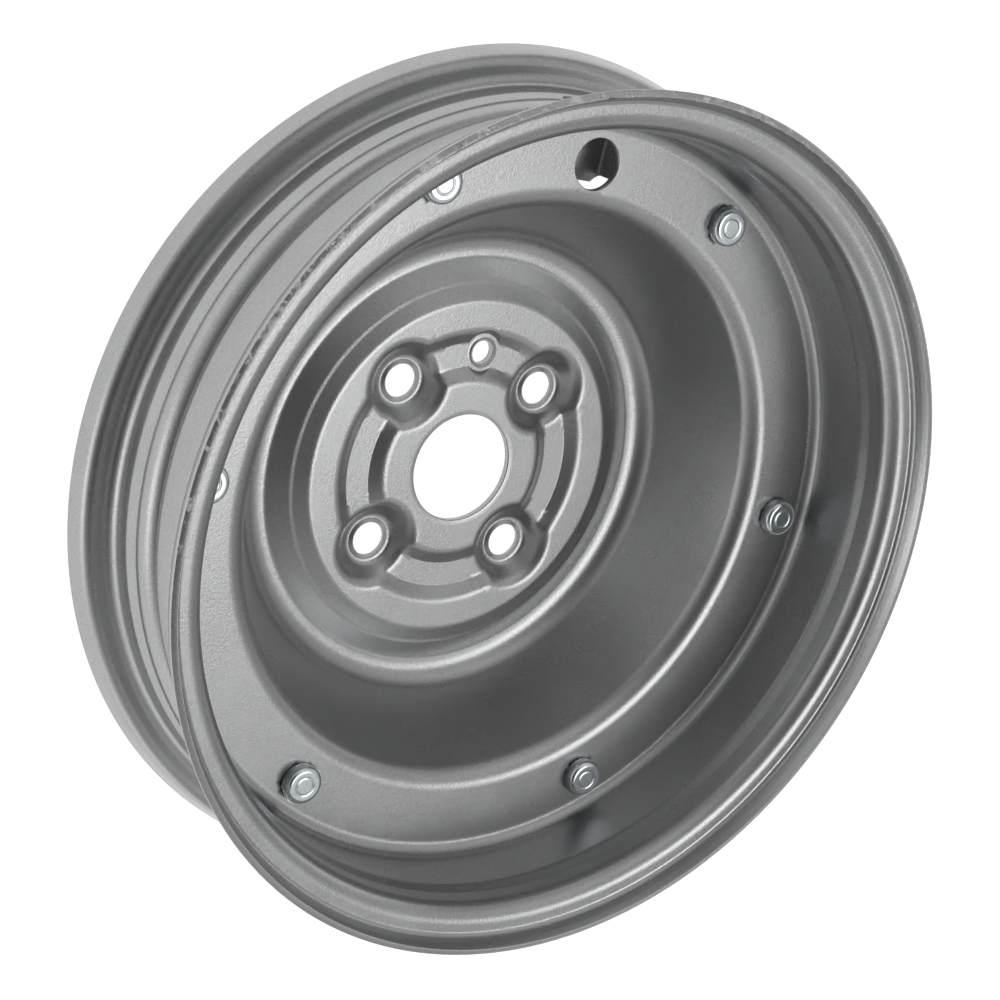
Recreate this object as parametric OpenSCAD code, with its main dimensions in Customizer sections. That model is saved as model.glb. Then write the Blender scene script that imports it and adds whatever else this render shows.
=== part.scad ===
// Split rim wheel: a dished front half and a ring-shaped rear half, pressed from steel sheet and
// clamped together by six bolts on an inner flange. The wheel lies on its hub's rear mounting face,
// which is the plane z = 0, with its face up and its axis on +Z.

/* [Sheet] */
// Thickness of both pressings
sheet = 2.3; // [1.8:0.1:2.6]
// Largest turn between two points of a bend, in degrees
bend_step = 12; // [6:1:20]
// Facets around the wheel
wheel_fn = 96; // [48:8:160]

/* [Rim] */
// Diameter of the bead seat where it meets the flange
seat_d = 253.4; // [250:0.2:256]
// Height of the lip's edge above the bead seat
flange_h = 11.3; // [10:0.1:13]
// Reach of a lip past the tyre side of its flange
lip_reach = 7.5; // [6.2:0.1:9]
// Flare of a lip away from the axis direction, in degrees
lip_flare = 19; // [15:1:23]
// Bend between lip and flange, on the tyre side
lip_bend = 4.2; // [3.4:0.1:5]
// Taper of the bead seat, in degrees
seat_taper = 5; // [4:0.5:6]
// Length of the bead seat along the axis
seat_len = 8; // [6.5:0.5:9.5]
// Bend between flange and bead seat, on the tyre side
seat_bend = 3.8; // [3.2:0.1:4.4]
// Depth of the barrel below the bead seat
barrel_drop = 2; // [1.6:0.1:2.4]
// Length of the slope from the bead seat to the barrel
slope_len = 3.5; // [2.8:0.1:4.2]
// Length of the disc half's barrel
front_barrel = 23.6; // [20:0.2:28]
// Length of the ring half's barrel
rear_barrel = 8; // [6.6:0.2:9.6]
// Bend between barrel and bolt flange, on the tyre side
barrel_bend = 6.8; // [5.6:0.1:7.4]

/* [Bolt flange] */
// Number of bolts that clamp the halves
bolt_count = 6; // [6]
// Clearance between a bolt and its holes, all round
bolt_clear = 0.25; // [0.2:0.05:0.3]
// Flat between the spring washers and the bend of the barrel
flange_outer = 0.7; // [0.5:0.1:0.9]
// Flat between the spring washers and the ring half's inner edge
flange_inner = 2.9; // [2.4:0.1:3.4]
// Clearance between that edge and the bend at the top of the bowl
ring_clear = 0.4; // [0.3:0.1:0.5]

/* [Valve] */
// Diameter of the valve hole in the disc half
valve_hole_d = 16.2; // [14:0.2:18]
// Distance from the barrel to the valve hole's centre
valve_inset = 16.8; // [15:0.1:18]
// Depth of the valve trough in the ring half, below the joint
trough_depth = 10; // [8:0.5:12]
// Inside width of the valve trough
trough_w = 21; // [18:0.5:25]
// Cut corners at the inner end of the trough
trough_chamfer = 5; // [4:0.5:6]

/* [Bowl] */
// Height of the wheel, from the mounting face to the front lip's edge
wheel_h = 79.5; // [70:0.5:90]
// Distance from the ring half's inner edge to the corner where the flange turns down
bowl_gap = 5.3; // [4.6:0.1:6.2]
// Bend at the top of the bowl, front side
bowl_top_bend = 8; // [6.5:0.5:9.5]
// Bend at the foot of the bowl, front side
bowl_foot_bend = 9; // [7.5:0.5:10.5]
// Width of the valley between the bowl's foot and the hub's foot
valley_w = 7.3; // [6:0.1:8.6]
// Bend at the inner foot of the valley, front side
valley_bend = 4; // [3.2:0.2:4.8]

/* [Hub] */
// Width of the slope between the valley and the ledge on the hub's shoulder
foot_w = 6.9; // [5.8:0.1:8]
// Width of that ledge
ledge_w = 1.2; // [1:0.1:1.4]
// Height of the ledge above the valley
ledge_rise = 3.6; // [3:0.1:4.2]
// Width of the slope between the ledge and the hub's flat
shoulder_w = 4.9; // [4:0.1:5.8]
// Height of the hub's flat above the valley
hub_rise = 5.8; // [5:0.1:6.8]
// Round where the shoulder meets the hub's flat, front side
hub_round = 4; // [3.2:0.2:4.8]
// Distance from the stud circle to the edge of the hub's flat
hub_edge = 18.35; // [16:0.05:21]
// Diameter of the centre bore
bore_d = 36; // [30:0.5:42]
// Depth of the ring-shaped channel along the stud circle
channel_depth = 2.3; // [1.9:0.1:2.7]
// Width of the channel's floor
channel_w = 8; // [6.6:0.1:9.4]
// Slope of the channel's walls, in degrees
channel_slope = 28; // [24:1:33]
// Round at the top of the channel's walls
channel_round = 5.5; // [4.4:0.1:6.6]
// Diameter of the locating hole
locating_d = 7.8; // [6.4:0.1:8.4]
// Distance from the stud circle out to the locating hole's centre
locating_shift = 0.75; // [0.6:0.05:0.9]
// Width of the raised collar round the locating hole
collar_w = 0.9; // [0.7:0.1:1.1]
// Height of that collar above the channel's floor
collar_h = 0.5; // [0.4:0.1:0.6]
// Width of the level spot pressed round that collar
spot_w = 1.6; // [1.3:0.1:1.9]

/* [Studs] */
// Number of stud holes
stud_count = 4; // [4]
// Stud circle diameter
stud_pcd = 75.3; // [70:0.1:80]
// Turn of the first stud hole from the +X axis, in degrees
stud_turn = 46.9; // [40:0.1:54]
// Diameter of a stud hole
stud_hole_d = 11.2; // [9.6:0.1:12.8]
// Diameter of the countersunk seat round a stud hole
stud_seat_d = 13.8; // [12.9:0.1:15.2]
// Depth of the countersunk seat
stud_seat_depth = 1.1; // [0.9:0.1:1.3]
// Width of the level rim between that seat and the pocket's wall
pocket_rim = 1.6; // [1.4:0.1:1.8]
// Slope of a stud pocket's wall, in degrees
pocket_slope = 47; // [40:1:54]
// Round at the top of a stud pocket's wall
pocket_round = 3.8; // [3.2:0.1:4.4]
// Round at the foot of a stud pocket's wall
pocket_foot = 0.8; // [0.7:0.05:0.9]

/* [Fasteners] */
// Diameter of a bolt's shank
bolt_d = 8; // [7:0.5:9]
// Diameter of a bolt's head
head_d = 12.7; // [11:0.1:14.5]
// Height of a bolt's head
head_h = 4.2; // [3.5:0.1:5]
// Round at the rim of a bolt's head
head_round = 1.2; // [1:0.1:1.4]
// Diameter of the plain ring turned in the top of a head
head_ring_d = 6; // [5:0.2:7]
// Width of that ring's groove
head_ring_w = 0.6; // [0.5:0.05:0.7]
// Depth of that ring's groove
head_ring_depth = 0.25; // [0.2:0.05:0.3]
// Length of shank that shows behind the nut
bolt_stub = 2.4; // [2:0.1:4]
// Chamfer at the end of a shank
bolt_chamfer = 0.8; // [0.6:0.1:1]
// Outer diameter of a spring washer
washer_d = 13.8; // [12.6:0.1:15]
// Thickness of a spring washer
washer_t = 2; // [1.6:0.1:2.4]
// Gap where a spring washer is split
washer_gap = 1; // [0.8:0.1:1.2]
// Slant of that gap, in degrees
washer_slant = 20; // [16:1:24]
// Width of a nut across its flats
nut_af = 13; // [11:0.5:14]
// Height of a nut
nut_h = 6.5; // [5.3:0.1:7.7]
// Slope that a nut's corners are turned off at, in degrees
nut_corner = 30; // [24:1:36]
// Clearance between a shank and the washer and nut on it, all round
thread_clear = 0.1; // [0.05:0.05:0.15]

/* [Hidden] */

rim_grey = [0.60, 0.61, 0.62];
zinc = [0.72, 0.76, 0.82];

past = 1;
small_fn = 48;
slope_bend = 3;
sharp = 0.3;
ledge_bend = 1;

seat_r = seat_d / 2;
lip_r = seat_r + flange_h;
seat_end_r = seat_r - seat_len * tan(seat_taper);
barrel_r = seat_r - barrel_drop;
slope_end = lip_reach + seat_len + slope_len;
slope_turn = atan2(seat_end_r - barrel_r, slope_len);
slope_tangent = slope_bend * tan(slope_turn / 2);

bolt_r = barrel_r - barrel_bend - flange_outer - washer_d / 2;
ring_bore_r = bolt_r - washer_d / 2 - flange_inner;
bowl_top_r = ring_bore_r - bowl_gap;
valve_r = barrel_r - valve_inset;
valve_angle = 90;

joint_z = wheel_h - slope_end - front_barrel;
flange_top = joint_z + sheet;
rear_depth = slope_end + rear_barrel;
rear_lip_z = joint_z - rear_depth;

stud_r = stud_pcd / 2;
hub_r = stud_r + hub_edge;
ledge_in_r = hub_r + shoulder_w;
ledge_out_r = ledge_in_r + ledge_w;
valley_r = ledge_out_r + foot_w;
bowl_foot_r = valley_r + valley_w;
bowl_turn = atan2(flange_top - sheet, bowl_top_r - bowl_foot_r);
valley_tangent = valley_bend * tan(atan2(ledge_rise, foot_w) / 2);

hub_z = sheet + hub_rise;
channel_z = hub_z - channel_depth;
channel_run = channel_depth / tan(channel_slope);
locating_r = stud_r + locating_shift;
locating_angle = stud_turn + 180 / stud_count;
collar_d = locating_d + 2 * collar_w;
pocket_r = stud_seat_d / 2 + pocket_rim;
pocket_run = hub_rise / tan(pocket_slope);

washer_z = joint_z - sheet - washer_t;
nut_z = washer_z - nut_h;

// Direction of travel from point a to point b, in degrees
function heading(a, b) = atan2(b[1] - a[1], b[0] - a[0]);

// Unit vector to the left of a direction of travel
function left_of(angle) = [-sin(angle), cos(angle)];

// Directions of travel before and after corner i of a path, as [before, turn]
function corner(path, i) =
    let (
        last = len(path) - 1,
        before = heading(path[max(i - 1, 0)], path[max(i, 1)]),
        after = heading(path[min(i, last - 1)], path[min(i + 1, last)])
    )
    [before, (after - before + 540) % 360 - 180];

// A path is a list of corners [r, z, bend radius]. This moves it to its left by d, and gives each
// bend the radius that it has there, so that the sheet keeps one thickness round it.
function moved(path, d) = [
    for (i = [0 : len(path) - 1])
        let (
            c = corner(path, i),
            step = d * (left_of(c[0]) + left_of(c[0] + c[1])) / (1 + cos(c[1]))
        )
        [path[i][0] + step[0], path[i][1] + step[1], max(path[i][2] - sign(c[1]) * d, 0)]
];

// Stations along a path with its bends rounded, each as [point, direction of travel]
function stations(path) = [
    for (i = [0 : len(path) - 1])
        let (
            c = corner(path, i),
            here = [path[i][0], path[i][1]],
            toward = [cos(c[0]), sin(c[0])],
            side = sign(c[1]) * path[i][2],
            centre = here - path[i][2] * tan(abs(c[1]) / 2) * toward + side * left_of(c[0]),
            steps = ceil(abs(c[1]) / bend_step)
        )
        for (k = [0 : steps])
            let (angle = c[0] + (steps == 0 ? 0 : c[1] * k / steps))
            [steps == 0 ? here : centre - side * left_of(angle), angle]
];

// Points on the right of a rounded path, at the distance d
function right_side(path, d) = [for (s = stations(path)) s[0] - d * left_of(s[1])];

function reversed(points) = [for (i = [len(points) - 1 : -1 : 0]) points[i]];

// Tyre side of a rim half, from its lip edge at z = 0 to the joint, with a barrel of that length
function rim_path(barrel) = [
    [lip_r, 0, 0],
    [lip_r - lip_reach * tan(lip_flare), -lip_reach, lip_bend],
    [seat_r, -lip_reach, seat_bend],
    [seat_end_r, -lip_reach - seat_len, slope_bend],
    [barrel_r, -slope_end, slope_bend],
    [barrel_r, -slope_end - barrel, min(barrel_bend, barrel - slope_tangent)]
];

// Front side of the bowl, the valley and the hub's shoulder, from the bolt flange to the hub's flat
bowl_front = [
    [barrel_r, flange_top, 0],
    [bowl_top_r, flange_top, min(bowl_top_bend, (bowl_gap - ring_clear) / tan(bowl_turn / 2))],
    [bowl_foot_r, sheet, min(bowl_foot_bend, (valley_w - valley_tangent) / tan(bowl_turn / 2))],
    [valley_r, sheet, valley_bend],
    [ledge_out_r, sheet + ledge_rise, ledge_bend],
    [ledge_in_r, sheet + ledge_rise, sharp],
    [hub_r, hub_z, hub_round]
];

// Front side of the channel, from the hub's flat to the flat round the bore
channel_front = [
    [stud_r + channel_w / 2 + channel_run, hub_z, channel_round],
    [stud_r + channel_w / 2, channel_z, sharp],
    [stud_r - channel_w / 2, channel_z, sharp],
    [stud_r - channel_w / 2 - channel_run, hub_z, channel_round]
];

bore_edge = [[bore_d / 2, hub_z, 0]];

// Front side of a stud pocket, from the hub's flat to the stud's axis
pocket_front = [
    [pocket_r + pocket_run + 2 * pocket_round, hub_z, 0],
    [pocket_r + pocket_run, hub_z, pocket_round],
    [pocket_r, sheet, pocket_foot],
    [0, sheet, 0]
];

// A list without its first item
function rest(items) = [for (i = [1 : len(items) - 1]) items[i]];

// Back of the disc half, from the lip to the bore, where the given front side lies inside the rim
function disc_back(front) = concat(
    [for (p = rim_path(front_barrel)) [p[0], p[1] + wheel_h, p[2]]],
    rest(moved(front, sheet))
);

// Points of a pressed front side at the distance d from its back, without its flat start
function formed(front, d) = rest(right_side(moved(front, sheet), d));

// A pressed shape's front, closed above the hub's flat, so that it can be cut away
module front_cut(points) {
    last = len(points) - 1;
    rotate_extrude($fn = wheel_fn)
        polygon(concat(points, [[points[last][0], hub_z + past], [points[0][0], hub_z + past]]));
}

module at_polar(radius, angle, z = 0) {
    rotate([0, 0, angle]) translate([radius, 0, z]) children();
}

module at_studs() {
    for (i = [0 : stud_count - 1])
        at_polar(stud_r, stud_turn + i * 360 / stud_count) children();
}

module at_bolt(i, z = 0) {
    at_polar(bolt_r, (i - 1) * 360 / bolt_count, z) children();
}

module bolt_holes() {
    for (i = [1 : bolt_count])
        at_bolt(i, joint_z - sheet - past)
            cylinder(d = bolt_d + 2 * bolt_clear, h = 2 * sheet + 2 * past, $fn = small_fn);
}

// The disc half's sheet, with its channel still to be cut
module disc_sheet() {
    pressed = disc_back(concat(bowl_front, channel_front, bore_edge));
    flat_hub = disc_back(concat(bowl_front, bore_edge));
    rotate_extrude($fn = wheel_fn)
        polygon(concat(right_side(pressed, 0), reversed(right_side(flat_hub, sheet))));
}

module channel_cut() {
    side = formed(concat([bowl_front[len(bowl_front) - 1]], channel_front, bore_edge), sheet);
    front_cut([for (i = [0 : len(side) - 2]) side[i]]);
}

module pocket_cut() {
    front_cut(formed(pocket_front, sheet));
}

// Metal that a stud pocket pushes out behind the hub
module pocket_body() {
    back = formed(pocket_front, 0);
    inside_sheet = hub_z - sheet / 2;
    rotate_extrude($fn = wheel_fn)
        polygon(concat(back, [[0, inside_sheet], [back[0][0], inside_sheet]]));
}

module stud_hole() {
    translate([0, 0, -past]) cylinder(d = stud_hole_d, h = sheet + 2 * past, $fn = small_fn);
    translate([0, 0, sheet - stud_seat_depth])
        cylinder(d1 = stud_hole_d, d2 = stud_seat_d, h = stud_seat_depth, $fn = small_fn);
}

module locating_collar() {
    at_polar(locating_r, locating_angle, channel_z - sheet / 2)
        cylinder(d = collar_d, h = sheet / 2 + collar_h, $fn = small_fn);
}

module locating_recess() {
    at_polar(locating_r, locating_angle, channel_z)
        cylinder(d = collar_d + 2 * spot_w, h = channel_depth + past, $fn = small_fn);
}

module locating_hole() {
    at_polar(locating_r, locating_angle, channel_z - sheet - past)
        cylinder(d = locating_d, h = sheet + channel_depth + 2 * past, $fn = small_fn);
}

module valve_hole() {
    at_polar(valve_r, valve_angle, joint_z - past)
        cylinder(d = valve_hole_d, h = sheet + 2 * past, $fn = small_fn);
}

module disc_half() {
    color(rim_grey)
        difference() {
            union() {
                difference() {
                    union() {
                        disc_sheet();
                        at_studs() pocket_body();
                    }
                    channel_cut();
                    at_studs() pocket_cut();
                    locating_recess();
                }
                locating_collar();
            }
            at_studs() stud_hole();
            locating_hole();
            valve_hole();
            bolt_holes();
        }
}

// The ring half's sheet, as [r, z] from its own lip at z = 0 up to the joint at z = rear_depth
ring_path = concat(rim_path(rear_barrel), [[ring_bore_r, -rear_depth, 0]]);

module ring_profile(points) {
    translate([0, 0, rear_lip_z])
        rotate_extrude($fn = wheel_fn) polygon([for (p = points) [p[0], -p[1]]]);
}

module ring_sheet() {
    ring_profile(concat(right_side(ring_path, 0), reversed(right_side(ring_path, sheet))));
}

// Everything inside the ring half's tyre side
module ring_envelope() {
    ring_profile(concat(right_side(ring_path, 0), [[0, -rear_depth], [0, 0]]));
}

// Space that the valve's stem passes through, from the tyre side to behind the valve hole
module trough_space() {
    inner = ring_bore_r - trough_w;
    rotate([0, 0, valve_angle])
        translate([inner, -trough_w / 2, joint_z - trough_depth])
            cube([barrel_r + past - inner, trough_w, trough_depth + past]);
}

// Pressed trough round that space, open at both ends
module trough_body() {
    width = trough_w + 2 * sheet;
    intersection() {
        ring_envelope();
        rotate([0, 0, valve_angle])
            translate([ring_bore_r, -width / 2, joint_z - trough_depth - sheet])
                cube([barrel_r - sheet / 2 - ring_bore_r, width, trough_depth + sheet / 2]);
    }
}

// Corners cut off the inner end of the trough's floor and walls
module trough_corners() {
    half = trough_w / 2 + sheet;
    rotate([0, 0, valve_angle])
        for (side = [-1, 1])
            translate([ring_bore_r, side * half, joint_z - trough_depth - sheet - past])
                linear_extrude(trough_depth + past)
                    polygon([
                        [-past, side * past], [-past, -side * (trough_chamfer + past)],
                        [trough_chamfer + past, side * past]
                    ]);
}

module ring_half() {
    color(rim_grey)
        difference() {
            union() {
                ring_sheet();
                trough_body();
            }
            trough_space();
            trough_corners();
            bolt_holes();
        }
}

// A smooth round cap head with a plain turned ring, on a shank that passes both flanges
module bolt(i) {
    groove_in = head_ring_d / 2 - head_ring_w / 2;
    groove_out = head_ring_d / 2 + head_ring_w / 2;
    steps = ceil(90 / bend_step);
    rim = [for (k = [steps : -1 : 0])
        let (a = 90 * k / steps)
        [head_d / 2 - head_round * (1 - cos(a)), head_h - head_round * (1 - sin(a))]];
    end_z = nut_z - bolt_stub;
    color(zinc)
        at_bolt(i) {
            translate([0, 0, flange_top])
                rotate_extrude($fn = small_fn)
                    polygon(concat(
                        [[0, 0], [0, head_h], [groove_in, head_h],
                         [groove_in, head_h - head_ring_depth],
                         [groove_out, head_h - head_ring_depth], [groove_out, head_h]],
                        rim,
                        [[head_d / 2, 0]]
                    ));
            translate([0, 0, end_z + bolt_chamfer])
                cylinder(d = bolt_d, h = flange_top - end_z - bolt_chamfer + past, $fn = small_fn);
            translate([0, 0, end_z])
                cylinder(d1 = bolt_d - 2 * bolt_chamfer, d2 = bolt_d, h = bolt_chamfer, $fn = small_fn);
        }
}

module spring_washer(i) {
    inner_d = bolt_d + 2 * thread_clear;
    color(zinc)
        at_bolt(i, washer_z)
            difference() {
                cylinder(d = washer_d, h = washer_t, $fn = small_fn);
                translate([0, 0, -past])
                    cylinder(d = inner_d, h = washer_t + 2 * past, $fn = small_fn);
                translate([inner_d / 4, 0, washer_t / 2])
                    rotate([washer_slant, 0, 0])
                        translate([0, -washer_gap / 2, -washer_t / 2 - past])
                            cube([washer_d / 2, washer_gap, washer_t + 2 * past]);
            }
}

// A hexagon nut with its corners turned off at both faces
module nut(i) {
    across_corners = nut_af / cos(180 / 6);
    reach = across_corners / 2 + past;
    drop = (reach - nut_af / 2) * tan(nut_corner);
    color(zinc)
        at_bolt(i, nut_z)
            difference() {
                intersection() {
                    cylinder(d = across_corners, h = nut_h, $fn = 6);
                    rotate_extrude($fn = small_fn)
                        polygon([
                            [0, 0], [nut_af / 2, 0], [reach, drop], [reach, nut_h - drop],
                            [nut_af / 2, nut_h], [0, nut_h]
                        ]);
                }
                translate([0, 0, -past])
                    cylinder(d = bolt_d + 2 * thread_clear, h = nut_h + 2 * past, $fn = small_fn);
            }
}

disc_half();
ring_half();
for (i = [1 : bolt_count]) {
    bolt(i);
    spring_washer(i);
    nut(i);
}
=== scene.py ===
"""Dresses the split rim wheel: two enamelled pressings, bright zinc fasteners, stage and camera."""

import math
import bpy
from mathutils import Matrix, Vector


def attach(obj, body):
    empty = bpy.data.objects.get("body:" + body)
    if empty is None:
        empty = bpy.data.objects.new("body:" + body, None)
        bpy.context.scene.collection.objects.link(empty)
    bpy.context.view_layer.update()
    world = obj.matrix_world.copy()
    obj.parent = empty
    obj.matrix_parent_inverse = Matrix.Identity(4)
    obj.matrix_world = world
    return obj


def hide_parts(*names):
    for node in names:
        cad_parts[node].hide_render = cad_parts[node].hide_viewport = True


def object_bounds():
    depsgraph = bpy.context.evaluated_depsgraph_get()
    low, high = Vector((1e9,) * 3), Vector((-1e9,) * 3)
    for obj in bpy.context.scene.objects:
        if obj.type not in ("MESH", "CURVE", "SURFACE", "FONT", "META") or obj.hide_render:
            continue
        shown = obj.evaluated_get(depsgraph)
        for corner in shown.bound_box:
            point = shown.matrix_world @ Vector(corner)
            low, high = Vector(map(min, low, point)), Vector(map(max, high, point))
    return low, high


bl_info = {
    "name": "Split rim wheel",
    "version": (1, 0, 0),
    "blender": (4, 5, 0),
    "location": "View3D > Sidebar > Split Rim",
    "description": "Dresses a pressed steel split rim wheel with enamelled halves and zinc plated fasteners",
    "category": "Object",
}

import bmesh
import bpy
import numpy as np

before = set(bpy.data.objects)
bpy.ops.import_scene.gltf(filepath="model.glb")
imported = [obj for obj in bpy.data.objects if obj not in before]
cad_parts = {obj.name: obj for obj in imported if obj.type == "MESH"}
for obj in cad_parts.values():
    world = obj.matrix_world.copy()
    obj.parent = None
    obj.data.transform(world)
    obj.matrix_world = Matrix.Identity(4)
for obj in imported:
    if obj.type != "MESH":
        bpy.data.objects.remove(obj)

MM = 0.001
TAU = 2 * math.pi

# How fast a soft panel's light falls with the angle from its middle
PANEL_FOCUS = 12.0
# Turn round the axis of the side where the front lip is worn most
WORN_SIDE = math.radians(125)
# The camera's place in metres, its turns in degrees and its lens and sensor in millimetres
CAMERA_PLACE = (-0.447147, 0.182275, 0.619157)
CAMERA_TURNS = (-23.37383, -32.79394, 16.12885)
CAMERA_LENS = 86.53
CAMERA_SENSOR = 36.0
FLOOR_HALF_WIDTH = 2.5


def box_lists(box):
    """A box's two corners as plain lists of numbers."""
    return [[float(v) for v in corner] for corner in box]


CAD_BOX = box_lists(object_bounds())


def length(name, description, mm):
    """A length whose default is given in millimetres and kept in metres."""
    return bpy.props.FloatProperty(
        name=name, description=description, default=mm * MM, min=0.0, unit="LENGTH", precision=5
    )


def angle(name, description, degrees):
    """An angle whose default is given in degrees."""
    return bpy.props.FloatProperty(
        name=name, description=description, default=math.radians(degrees), subtype="ANGLE"
    )


def colour(name, description, red, green, blue):
    """A linear colour."""
    return bpy.props.FloatVectorProperty(
        name=name, description=description, default=(red, green, blue), size=3, min=0.0, max=1.0,
        subtype="COLOR"
    )


def factor(name, description, value):
    """A number from 0 to 1."""
    return bpy.props.FloatProperty(
        name=name, description=description, default=value, min=0.0, max=1.0, subtype="FACTOR"
    )


def strength(name, description, value):
    """A light's brightness, where 1 shows as white."""
    return bpy.props.FloatProperty(name=name, description=description, default=value, min=0.0)


class RimShape(bpy.types.PropertyGroup):
    """Sizes of the two pressings."""

    sheet: length("Sheet", "Thickness of both pressings", 2.3)
    cut_edge: length("Cut edge", "Rounding of the sheet's cut edges", 0.35)
    seat_radius: length("Seat radius", "Radius of the bead seat where it meets the flange", 126.7)
    flange_height: length("Flange height", "Height of the lip's edge above the bead seat", 11.2)
    lip_reach: length("Lip reach", "Reach of a lip past the tyre side of its flange", 7.5)
    lip_flare: angle("Lip flare", "Flare of a lip away from the axis", 19)
    lip_bend: length("Lip bend", "Bend between lip and flange", 4.2)
    seat_taper: angle("Seat taper", "Taper of the bead seat", 5)
    seat_length: length("Seat length", "Length of the bead seat along the axis", 8)
    seat_bend: length("Seat bend", "Bend between flange and bead seat", 3.8)
    slope_bend: length("Slope bend", "Bends at both ends of the slope beside the seat", 3)
    barrel_drop: length("Barrel drop", "Depth of the barrel below the bead seat", 2)
    slope_length: length("Slope length", "Length of the slope from seat to barrel", 3.5)
    front_barrel: length("Front barrel", "Length of the disc half's barrel", 23.6)
    rear_barrel: length("Rear barrel", "Length of the ring half's barrel", 8)
    barrel_bend: length("Barrel bend", "Bend between barrel and bolt flange", 6.8)
    joint_height: length("Joint height", "Height of the joint between the two halves", 36.9)
    ring_bore: length("Ring bore", "Radius of the ring half's inner edge", 100.5)
    bowl_top: length("Bowl top", "Radius where the flange turns down", 95.2)
    bowl_top_bend: length("Bowl top bend", "Bend at the top of the bowl, front side", 8)
    bowl_foot: length("Bowl foot", "Radius of the bowl's foot", 76.3)
    bowl_foot_bend: length("Bowl foot bend", "Bend at the foot of the bowl, front side", 9)
    valley: length("Valley", "Radius of the valley's inner edge", 69)
    valley_bend: length("Valley bend", "Bend at the valley's inner edge", 4)
    ledge_outer: length("Ledge outer", "Outer radius of the ledge on the hub's shoulder", 62.1)
    ledge_inner: length("Ledge inner", "Inner radius of that ledge", 60.9)
    ledge_rise: length("Ledge rise", "Height of the ledge above the valley", 3.6)
    hub_radius: length("Hub radius", "Radius of the hub's flat", 56)
    hub_rise: length("Hub rise", "Height of the hub's flat above the valley", 5.8)
    hub_round: length("Hub round", "Round at the edge of the hub's flat", 4)
    bore: length("Bore", "Radius of the centre bore", 18)
    channel_depth: length("Channel depth", "Depth of the ring-shaped channel", 2.3)
    channel_width: length("Channel width", "Width of the channel's floor", 8)
    channel_slope: angle("Channel slope", "Slope of the channel's walls", 28)
    channel_round: length("Channel round", "Round at the top of the channel's walls", 5.5)
    valve_radius: length("Valve hole", "Radius of the valve hole", 8.1)
    valve_circle: length("Valve circle", "Distance from the axis to the valve hole", 107.9)
    trough_width: length("Trough width", "Inside width of the valve trough", 21)
    trough_depth: length("Trough depth", "Depth of the valve trough below the joint", 10)
    trough_chamfer: length("Trough chamfer", "Cut corners at the trough's inner end", 5)


class StudShape(bpy.types.PropertyGroup):
    """Sizes of the stud pockets and the locating hole."""

    circle: length("Stud circle", "Radius of the stud circle", 37.65)
    turn: angle("Turn", "Turn of the first stud hole from the X axis", 46.9)
    hole: length("Hole", "Radius of a stud hole", 5.6)
    seat: length("Seat", "Radius of the raised seat's foot", 6.9)
    seat_rise: length("Seat rise", "Height of the raised seat above the pocket's floor", 0.8)
    seat_step: length("Seat step", "Height of the step at the seat's foot", 0.2)
    land: length("Land", "Length of the hole through the raised seat", 1.4)
    level_rim: length("Level rim", "Width of the level rim round the seat", 1.6)
    wall_slope: angle("Wall slope", "Slope of a pocket's wall", 47)
    wall_round: length("Wall round", "Round at the top of a pocket's wall", 5)
    wall_foot: length("Wall foot", "Round at the foot of a pocket's wall", 2.5)
    locating_circle: length("Locating circle", "Distance from the axis to the locating hole", 38.4)
    locating_turn: angle("Locating turn", "Turn of the locating hole from the X axis", 91.9)
    locating_hole: length("Locating hole", "Radius of the locating hole", 3.9)
    collar: length("Collar", "Outer radius of the collar round the locating hole", 4.8)
    collar_height: length("Collar height", "Height of that collar", 0.5)
    spot: length("Spot", "Radius of the level spot round the collar", 6.4)


class FastenerShape(bpy.types.PropertyGroup):
    """Sizes of the six bolts, spring washers and nuts."""

    count: bpy.props.IntProperty(name="Bolts", description="Number of bolts", default=6, min=3, max=12)
    circle: length("Bolt circle", "Radius of the bolt circle", 110.3)
    hole: length("Hole", "Radius of a bolt hole", 4.25)
    shank: length("Shank", "Radius of a bolt's shank", 4)
    head: length("Head", "Radius of a bolt's head", 6.35)
    head_height: length("Head height", "Height of a bolt's head", 4.2)
    head_round: length("Head round", "Round at the rim of a head", 1.7)
    groove: length("Groove", "Radius of the plain ring turned in a head", 3)
    groove_width: length("Groove width", "Width of that ring", 0.5)
    groove_depth: length("Groove depth", "Depth of that ring", 0.12)
    pitch: length("Pitch", "Pitch of the thread", 1.25)
    thread_depth: length("Thread depth", "Depth of the thread", 0.6)
    stub: length("Stub", "Length of shank behind the nut", 2.4)
    chamfer: length("Chamfer", "Chamfer at the end of a shank", 0.8)
    washer: length("Washer", "Outer radius of a spring washer", 6.9)
    washer_bore: length("Washer bore", "Inner radius of a spring washer", 4.1)
    washer_thickness: length("Washer thickness", "Thickness of a spring washer", 2)
    washer_gap: length("Washer gap", "Gap where a spring washer is split", 1)
    washer_slant: angle("Washer slant", "Slant of that gap", 20)
    nut_flats: length("Nut flats", "Half the width of a nut across its flats", 6.5)
    nut_height: length("Nut height", "Height of a nut", 6.5)
    nut_corner: angle("Nut corner", "Slope that a nut's corners are turned off at", 30)


class RimFinish(bpy.types.PropertyGroup):
    """Colours and gloss of the enamel and the zinc."""

    enamel: colour("Enamel", "Colour of the rim enamel", 0.418, 0.421, 0.424)
    enamel_metal: factor("Enamel metal", "Share of metallic pigment in the enamel", 0.85)
    enamel_roughness: factor("Enamel roughness", "Roughness of the enamel", 0.26)
    bare_steel: colour("Bare steel", "Colour where the enamel is scuffed off an edge", 0.62, 0.62, 0.61)
    dark_steel: colour("Dark steel", "Colour of chipped and dirty edges", 0.13, 0.125, 0.12)
    zinc: colour("Zinc", "Colour of the zinc plate", 0.70, 0.75, 0.77)
    zinc_roughness: factor("Zinc roughness", "Roughness of the zinc plate", 0.13)


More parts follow.
